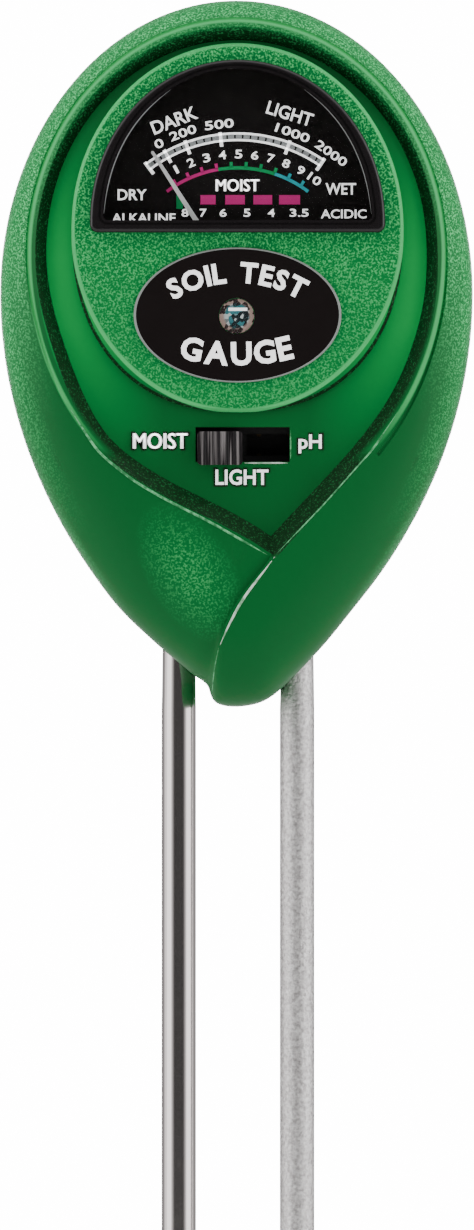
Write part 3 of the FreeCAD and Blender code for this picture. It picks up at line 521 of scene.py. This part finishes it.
def dial_word(text, width, height, x_mm, z_mm, turn=0.0, weight=0.015):
    piece = word(text, width, height, weight)[0]
    place_flat(piece, x_mm, DIAL_FACE_Y, z_mm, turn)
    return piece


words = [dial_word("DRY", 4.0, 1.5, -14.4, 258.0), dial_word("WET", 4.2, 1.6, 14.4, 258.8),
         dial_word("MOIST", 5.95, 1.65, 0.08, 259.3, 0.0, 0.0),
         dial_word("MOIST", 5.95, 1.65, 0.22, 259.3, 0.0, 0.0),
         dial_word("ALKALINE", 8.8, 1.25, -12.8, 254.8),
         dial_word("ACIDIC", 6.3, 1.25, 14.8, 255.35)]
for text, width, radius, angle in (("DARK", 6.5, 24.4, -21.0), ("LIGHT", 6.5, 24.75, 17.0)):
    words.append(dial_word(text, width, 1.85, *on_arc(radius, angle), angle))
for text, width, angle in (("0", 1.2, -29.0), ("200", 3.8, -19.7), ("500", 4.0, -6.5), ("1000", 4.9, 19.9),
                           ("2000", 4.95, 35.4)):
    words.append(dial_word(text, width, 1.25, *on_arc(22.35, angle), angle))
for number in range(1, 11):
    angle = 0.5 + 7.1 * (number - 5)
    width = {1: 0.4, 10: 1.9}.get(number, 1.0)
    words.append(dial_word(str(number), width, 1.2, *on_arc(18.1, angle), angle))
for text, x_mm in (("8", -7.1), ("7", -4.6), ("6", -1.85), ("5", 1.45), ("4", 4.8), ("3.5", 8.65)):
    words.append(dial_word(text, 2.6 if text == "3.5" else 0.95, 1.1, x_mm, 255.5))
join("dial_words", words, white_ink)

# %% [markdown]
# A curved line on the dial is a row of short flat bars, each turned to its own place on the arc. A bar
# that leans has its upper edge moved sideways.

# %% Arcs, ticks and bars
def block(width, height, x_mm, z_mm, turn=0.0, skew=0.0):
    """A thin flat bar of ink, in mm, leaning over by skew."""
    bpy.ops.object.select_all(action="DESELECT")
    bpy.ops.mesh.primitive_cube_add(size=1)
    piece = bpy.context.object
    piece.scale = (width * MM, height * MM, INK_THICKNESS)
    bpy.ops.object.transform_apply(location=False, rotation=False, scale=True)
    if skew:
        for vertex in piece.data.vertices:
            vertex.select = vertex.co.y > 0
        bpy.ops.object.mode_set(mode="EDIT")
        bpy.ops.transform.translate(value=(height * MM * skew, 0, 0))
        bpy.ops.object.mode_set(mode="OBJECT")
    place_flat(piece, x_mm, DIAL_FACE_Y, z_mm, turn)
    return piece


def arc(radius, width, start, end, step=2.0):
    """A curved line of short bars from one angle to another."""
    count = max(1, round((end - start) / step))
    gap = (end - start) / count
    length = radius * math.radians(gap) * 1.02
    return [block(length, width, *on_arc(radius, start + gap * (k + 0.5)), start + gap * (k + 0.5))
            for k in range(count)]


def ticks(radius, length, width, angles):
    """Short bars that point outwards from the pointer's axis."""
    return [block(width, length, *on_arc(radius + length / 2, a), a) for a in angles]


light_scale = arc(20.05, 0.30, -37.0, 34.5) + arc(20.95, 0.30, -37.0, 34.5)
light_scale += ticks(19.25, 2.0, 0.45, (-37.0, -28.5, -20.0, -6.5, 20.0, 34.5))
join("light_scale_lines", light_scale, white_ink)
rungs = ticks(20.15, 0.7, 0.85, [-35.5 + 3.0 * k for k in range(24)])
join("light_scale_rungs", rungs, grey_ink)
for name, ink, start, end in (("moisture_dry_arc", magenta_ink, -37.0, -9.5),
                              ("moisture_middle_arc", green_ink, -9.5, 18.5),
                              ("moisture_wet_arc", cyan_ink, 18.5, 37.0)):
    marks = [a for a in (0.5 + 7.1 * n - 3.5 for n in range(-5, 7)) if start <= a <= end]
    pieces = arc(16.2, 0.45, start, end) + ticks(16.3, 0.75, 0.42, marks)
    join(name, pieces, ink)
bars = [block(w, 1.3, x_mm, 257.3, 0.0, skew)
        for w, x_mm, skew in ((2.1, -3.6, -0.25), (2.7, -0.2, 0.0), (2.6, 3.5, 0.1), (2.9, 7.0, 0.25))]
join("acid_bars", bars, magenta_ink)
join("neutral_bar", [block(0.9, 1.9, -6.9, 257.0, 0.0, -0.5)], green_ink)

# %% [markdown]
# ### The label and the words by the knob
# The words on the label run along two arcs. A whole word bent along a curve would bend its letters too, so
# each letter is placed and turned by itself.

# %% Words on arcs
LABEL_FACE_Y = -16.02


def arc_word(text, x_mm, centre_z, radius, letter, spacing, weight):
    """Letters side by side on an arc; a negative radius hangs them below the arc's centre."""
    letters = []
    for char in text:
        if char == " ":
            letters.append((None, letter * 0.45))
        else:
            letters.append(word(char, 0, letter, weight))
    total = sum(width for _, width in letters) + spacing * (len(letters) - 1)
    along = -total / 2
    pieces = []
    for piece, width in letters:
        angle = (along + width / 2) / radius
        along += width + spacing
        if piece:
            bpy.ops.object.select_all(action="DESELECT")
            piece.select_set(True)
            bpy.context.view_layer.objects.active = piece
            across, up = radius * math.sin(angle), radius * math.cos(angle)
            place_flat(piece, x_mm + across, LABEL_FACE_Y, centre_z + up, math.degrees(angle))
            pieces.append(piece)
    return pieces


label_words = arc_word("SOIL TEST", 0.1, 228.9, 18.3, 2.9, 0.34, 0.035)
label_words += arc_word("GAUGE", 0.0, 266.0, -30.0, 3.3, 0.30, 0.035)
join("label_words", label_words, white_ink)

# %% [markdown]
# The label has a fine raised rim. It is a thin ring, made round and then stretched to the label's oval,
# because that keeps its thickness even and its ends closed.

# %% A raised rim around the label
LABEL_X, LABEL_Z = 0.14, 241.35
RIM_HALF_WIDTH, RIM_HALF_HEIGHT, RIM_BULK = 14.15, 9.2, 12.0
bpy.ops.object.select_all(action="DESELECT")
bpy.ops.mesh.primitive_torus_add(major_segments=128, minor_segments=10, major_radius=1.0,
                                 minor_radius=0.0125)
rim = bpy.context.object
rim.scale = (RIM_HALF_WIDTH * MM, RIM_HALF_HEIGHT * MM, RIM_BULK * MM)
bpy.ops.object.transform_apply(location=False, rotation=False, scale=True)
place_flat(rim, LABEL_X, -15.95, LABEL_Z, 0.0)
rim_grey = Finish("label_rim_grey", Base_Color=(0.30, 0.33, 0.31), Roughness=0.3)
spot = rim_grey.place()[0]
rim_grey.set(Roughness=0.24 + rim_grey.noise(spot, 0.8, 2.0) * 0.12)
join("label_rim", [rim], rim_grey)

# %% [markdown]
# The words by the knob are white with a dark edge. Each is printed twice: a slightly larger dark word, and
# the white one just in front of it.

# %% Words by the knob
OUTLINE_Y = -14.80
WORD_Y = -14.83
FAT = 0.09
SWITCH_WORDS = (("MOIST", 7.6, 2.15, -10.5, 224.0), ("LIGHT", 7.3, 2.15, 0.75, 219.0),
                ("pH", 3.2, 2.6, 10.15, 223.6))
outlines = []
faces = []
for text, width, height, x_mm, z_mm in SWITCH_WORDS:
    bold = 0.0 if "M" in text else 0.02       # a fattened M fills up, so it is printed twice, side by side
    for grow, y_mm, weight, pieces in ((0.50, OUTLINE_Y, 0.05, outlines), (0.0, WORD_Y, bold, faces)):
        for shift in ((-FAT, FAT) if weight == 0.0 else (0.0,)):
            piece = word(text, width + grow - abs(shift) * 2, height + grow, weight)[0]
            place_flat(piece, x_mm + shift, y_mm, z_mm, 0.0)
            pieces.append(piece)
join("switch_word_outlines", outlines, black_ink)
join("switch_words", faces, white_ink)

# %% [markdown]
# ## Small pieces on the case
# The free edge of each leaf ends in a fine rounded lip, coloured pale or light green as a painted highlight.
# It is a thin tube along a path, and it has to lie on the moulded surface, whose height comes from a ray
# sent onto the shell at every point of that path.

# %% Lips along the leaf edges
shell_mesh = nodes["front_shell"]


def surface_y(x_mm, z_mm):
    """How far forward the shell lies at that place, in metres."""
    hit, point, *_ = shell_mesh.ray_cast(Vector((x_mm * MM, -0.1, z_mm * MM)), Vector((0, 1, 0)))
    return point.y if hit else 0.0


def lip(name, path, radius_mm, finish, sink_mm=0.05, taper=3, depth_mm=None):
    """A thin tube along a path on the shell, or at one fixed depth, thinner towards both ends."""
    points = []
    for (x0, z0), (x1, z1) in zip(path, path[1:]):
        count = max(2, round(math.hypot(x1 - x0, z1 - z0) / 0.7))
        points += [(x0 + (x1 - x0) * k / count, z0 + (z1 - z0) * k / count) for k in range(count)]
    points.append(path[-1])
    for _ in range(6):
        points = points[:1] + [((a[0] + b[0] + c[0]) / 3, (a[1] + b[1] + c[1]) / 3)
                               for a, b, c in zip(points, points[1:], points[2:])] + points[-1:]
    depths = [surface_y(*point) if depth_mm is None else depth_mm * MM for point in points]
    bpy.ops.object.select_all(action="DESELECT")
    bpy.ops.curve.primitive_nurbs_path_add()
    piece = bpy.context.object
    curve = piece.data
    curve.bevel_depth = radius_mm * MM
    curve.bevel_resolution = 3
    curve.use_fill_caps = True
    spline = curve.splines[0]
    spline.points.add(len(points) - len(spline.points))
    spline.type = "POLY"
    for k, ((px, pz), depth) in enumerate(zip(points, depths)):
        spline.points[k].co = (px * MM, depth + sink_mm * MM, pz * MM, 1.0)
        spline.points[k].radius = min(1.0, 0.25 + min(k, len(points) - 1 - k) / (taper * 3))
    bpy.ops.object.convert(target="MESH")
    piece = bpy.context.object
    piece.name = name
    piece.data.materials.clear()
    piece.data.materials.append(finish.material)
    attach(piece, "head")
    print(name, "has", len(points), "points, depth in mm", [round(f(depths) / MM, 2) for f in (min, max)])
    return piece


# Painted highlights: the lips are pale green and light green, lines of light along the leaf edges and the
# slot's rim.
lip_painted_highlight = Finish("leaf_lip_painted_highlight", Base_Color=(0.55, 0.85, 0.60), Roughness=0.25)
spot = lip_painted_highlight.place()[0]
lip_painted_highlight.set(Base_Color=lip_painted_highlight.mix(lip_painted_highlight.noise(spot, 1.2, 2.0).over(0.42, 0.2), (0.20, 0.50, 0.26),
                                     (0.80, 0.97, 0.84)))
lip_green_highlight = Finish("green_leaf_lip_highlight", Base_Color=(0.05, 0.45, 0.14), Roughness=0.35)
spot = lip_green_highlight.place()[0]
lip_green_highlight.set(Base_Color=lip_green_highlight.mix(lip_green_highlight.noise(spot, 0.8, 2.0).over(0.5, 0.25), (0.02, 0.24, 0.07),
                                       (0.16, 0.66, 0.28)))
lip("right_leaf_lip", [(5.25, 208.0), (4.0, 206.3), (1.3, 202.9), (-0.3, 200.2), (-1.65, 197.4),
                       (-2.45, 195.4)], 0.19, lip_painted_highlight)
lip("right_leaf_lower_lip", [(-2.35, 195.8), (-2.75, 194.2), (-3.15, 192.0), (-3.35, 189.0)],
    0.16, lip_green_highlight)
lip("left_leaf_lip", [(-22.9, 228.4), (-19.1, 222.4), (-14.1, 218.4), (-9.6, 215.8), (-3.6, 212.8),
                      (4.4, 208.2)], 0.19, lip_green_highlight)
lip("right_edge_lip", [(22.4, 228.2), (18.9, 222.9), (11.8, 214.9), (5.6, 208.5)], 0.15, lip_green_highlight)

# %% [markdown]
# The slot of the switch has a fine rim along its lower and right edges, pale and light green as a painted
# highlight where these edges catch the light. The same tubes serve for it, one for each edge, so that
# neither cuts across the corner.

# %% The slot's rim
slot_right, slot_low, slot_high = 7.33, 221.1, 225.9
lip("slot_rim_low", [(0.9, slot_low - 0.14), (slot_right - 0.1, slot_low - 0.14)], 0.13, lip_painted_highlight, 0.04, 1)
lip("slot_rim_right", [(slot_right + 0.13, slot_low + 0.2), (slot_right + 0.13, slot_high - 0.2)],
    0.12, lip_green_highlight, 0.04, 1)

# %% [markdown]
# The frame of the dial catches the light along the inner edge of its opening. A fine grey bead there is a
# painted highlight. It is the same tube again, at one depth in front of the window.

# %% The bead along the opening's sides
BEAD_Y = -17.28
OPENING_X, OPENING_Z = 0.14, 254.2
BEAD_ACROSS, BEAD_UP = 18.45, 21.0
# Painted highlight: a grey line on the black frame along the opening's sides.
bezel_highlight_finish = Finish("bezel_painted_highlight", Base_Color=(0.30, 0.31, 0.31), Roughness=0.2)
spot = bezel_highlight_finish.place()[0]
bezel_highlight_finish.set(Roughness=0.16 + bezel_highlight_finish.noise(spot, 1.5, 2.0) * 0.12)
for name, side, radius_mm in (("left_bezel_highlight", -1, 0.09), ("right_bezel_highlight", 1, 0.07)):
    path = [(OPENING_X + side * BEAD_ACROSS * math.cos(math.radians(a)),
             OPENING_Z + BEAD_UP * math.sin(math.radians(a))) for a in (3, 10, 20, 30, 40, 50, 60)]
    lip(name, path, radius_mm, bezel_highlight_finish, depth_mm=BEAD_Y)

# %% [markdown]
# ## The light sensor
# Under the clear lens lies a small chip with a contact bar. The teal, white and pink glints that the moulded
# facets of the lens throw are painted on a flat disc under it.

# %% Facets, bar and ring under the lens
SENSOR_X = 0.03
SENSOR_Z = 241.2
FACETS_Y = -15.1
BAR_Y = -15.2


def small_mesh(name, finish):
    """Name the new piece, give it its finish and let it ride on the head."""
    piece = bpy.context.object
    piece.name = name
    piece.data.name = name
    piece.data.materials.clear()
    piece.data.materials.append(finish.material)
    bpy.ops.object.transform_apply(location=True, rotation=True, scale=True)
    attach(piece, "head")
    return piece


facets = Finish("sensor_painted_glints", Roughness=0.25)
spot, x, y, z = facets.place()
cells = facets.node("TexVoronoi", {"feature": "F1"}, output="Color", Vector=spot, Scale=1 / (0.55 * MM))
split = facets.tree.nodes.new("ShaderNodeSeparateColor")
facets.feed(split.inputs[0], cells)
red, other = Term(facets, split.outputs[0]), Term(facets, split.outputs[1])
radius = (((x - SENSOR_X * MM) ** 2.0) + ((z - SENSOR_Z * MM) ** 2.0)) ** 0.5
# Painted glints: teal and white facets, and a pink ring with pale glints, all on a flat disc.
teal = facets.mix(red.over(0.55, 0.06), (0.002, 0.012, 0.016), (0.05, 0.26, 0.30))
teal = facets.mix(other.over(0.84, 0.04), teal, (0.80, 0.90, 0.90))
ring = radius.over(1.75 * MM, 0.3 * MM)
pink = facets.mix(other.over(0.5, 0.1), (0.045, 0.016, 0.014), (0.70, 0.45, 0.40))
facets.set(Base_Color=facets.mix(ring, teal, pink))
bpy.ops.object.select_all(action="DESELECT")
bpy.ops.mesh.primitive_cylinder_add(vertices=48, radius=2.4 * MM, depth=0.1 * MM,
                                    location=(SENSOR_X * MM, FACETS_Y * MM, SENSOR_Z * MM),
                                    rotation=(math.radians(90), 0, 0))
small_mesh("sensor_facets", facets)
bpy.ops.object.select_all(action="DESELECT")
bpy.ops.mesh.primitive_cube_add(size=1, location=((SENSOR_X + 0.15) * MM, BAR_Y * MM,
                                                  (SENSOR_Z + 0.95) * MM))
bpy.context.object.scale = (2.6 * MM, 0.1 * MM, 0.42 * MM)
small_mesh("sensor_bar", white_ink)

# %% [markdown]
# ## The camera
# A long lens from straight in front keeps the sides of the case parallel. The view takes in the head and
# the upper part of the probes.

# %% Camera
CAMERA_BACK = 2.8
VIEW_HEIGHT = 170.5 * MM
VIEW_CENTRE = Vector((0.07 * MM, 0.0, 200.0 * MM))
camera_data = bpy.data.cameras.new("long_lens")
camera_data.lens = 36.0 * CAMERA_BACK / VIEW_HEIGHT
camera_data.clip_end = 100.0
camera = bpy.data.objects.new("long_lens", camera_data)
bpy.context.collection.objects.link(camera)
camera.location = VIEW_CENTRE + Vector((0.0, -CAMERA_BACK, 0.0))
camera.rotation_euler = (math.radians(90), 0.0, 0.0)
bpy.context.scene.camera = camera
print("lens in mm:", round(camera_data.lens))

# %% [markdown]
# ## Light and floor
# The room is bright above and on both sides, dim towards the viewer and dim behind, with a white backdrop:
# sides come out light, what faces the viewer keeps its deep colour, and round metal shows dark and light
# stripes.

# %% The tent
FRONT_LEVEL, SIDE_LEVEL, REAR_SHARE, BACKDROP_LEVEL = 0.08, 1.6, 0.25, 15.0
world = bpy.data.worlds.new("light_tent")
bpy.context.scene.world = world
world.use_nodes = True
tree = world.node_tree
tree.nodes.clear()


def sky(kind, settings=None, **inputs):
    node = tree.nodes.new("ShaderNode" + kind)
    for key, value in (settings or {}).items():
        setattr(node, key, value)
    for key, value in inputs.items():
        socket = node.inputs[int(key[1:])]
        if hasattr(value, "outputs"):
            tree.links.new(value.outputs[0], socket)
        elif hasattr(value, "is_output"):
            tree.links.new(value, socket)
        else:
            socket.default_value = value
    return node


direction = sky("TexCoord").outputs["Generated"]
parts = sky("SeparateXYZ", _0=direction)
front = sky("MapRange", {"interpolation_type": "SMOOTHSTEP"}, _0=parts.outputs[1], _1=-0.90, _2=-0.50,
            _3=FRONT_LEVEL, _4=SIDE_LEVEL)
rear = sky("MapRange", {"interpolation_type": "SMOOTHSTEP"}, _0=parts.outputs[1], _1=0.20, _2=0.50,
           _3=1.0, _4=REAR_SHARE)
glow = sky("MapRange", {"interpolation_type": "SMOOTHSTEP"}, _0=parts.outputs[1], _1=0.990, _2=0.996,
           _3=0.0, _4=BACKDROP_LEVEL)
around = sky("Math", {"operation": "MULTIPLY"}, _0=front, _1=rear)
total = sky("Math", {"operation": "ADD"}, _0=around, _1=glow)
back = sky("Background", _0=(1.0, 1.0, 1.0, 1.0), _1=total)
sky("OutputWorld", _0=back)


def softbox(name, place, target, width, height, power):
    data = bpy.data.lights.new(name, "AREA")
    data.shape = "RECTANGLE"
    data.size = width
    data.size_y = height
    data.energy = power
    light = bpy.data.objects.new(name, data)
    bpy.context.collection.objects.link(light)
    light.location = place
    light.rotation_euler = (Vector(target) - Vector(place)).to_track_quat("-Z", "Y").to_euler()
    return light


HEAD_MIDDLE = (0, 0, 0.235)
for name, side in (("left_softbox", -1), ("right_softbox", 1)):
    softbox(name, (side * 0.75, -0.28, 0.26), HEAD_MIDDLE, width=0.5, height=0.9, power=1.5)

# %% [markdown]
# The floor is a plain pale disc just below the points of the probes.

# %% The floor
bpy.ops.object.select_all(action="DESELECT")
FLOOR_RADIUS = 1.1
FLOOR_Z = -0.5 * MM
bpy.ops.mesh.primitive_circle_add(vertices=96, radius=FLOOR_RADIUS, fill_type="NGON",
                                  location=(0, 0, FLOOR_Z))
floor = bpy.context.object
floor.name = "pale_floor"
pale = Finish("pale_floor_paint", Base_Color=(0.80, 0.80, 0.79), Roughness=0.7)
floor.data.materials.append(pale.material)
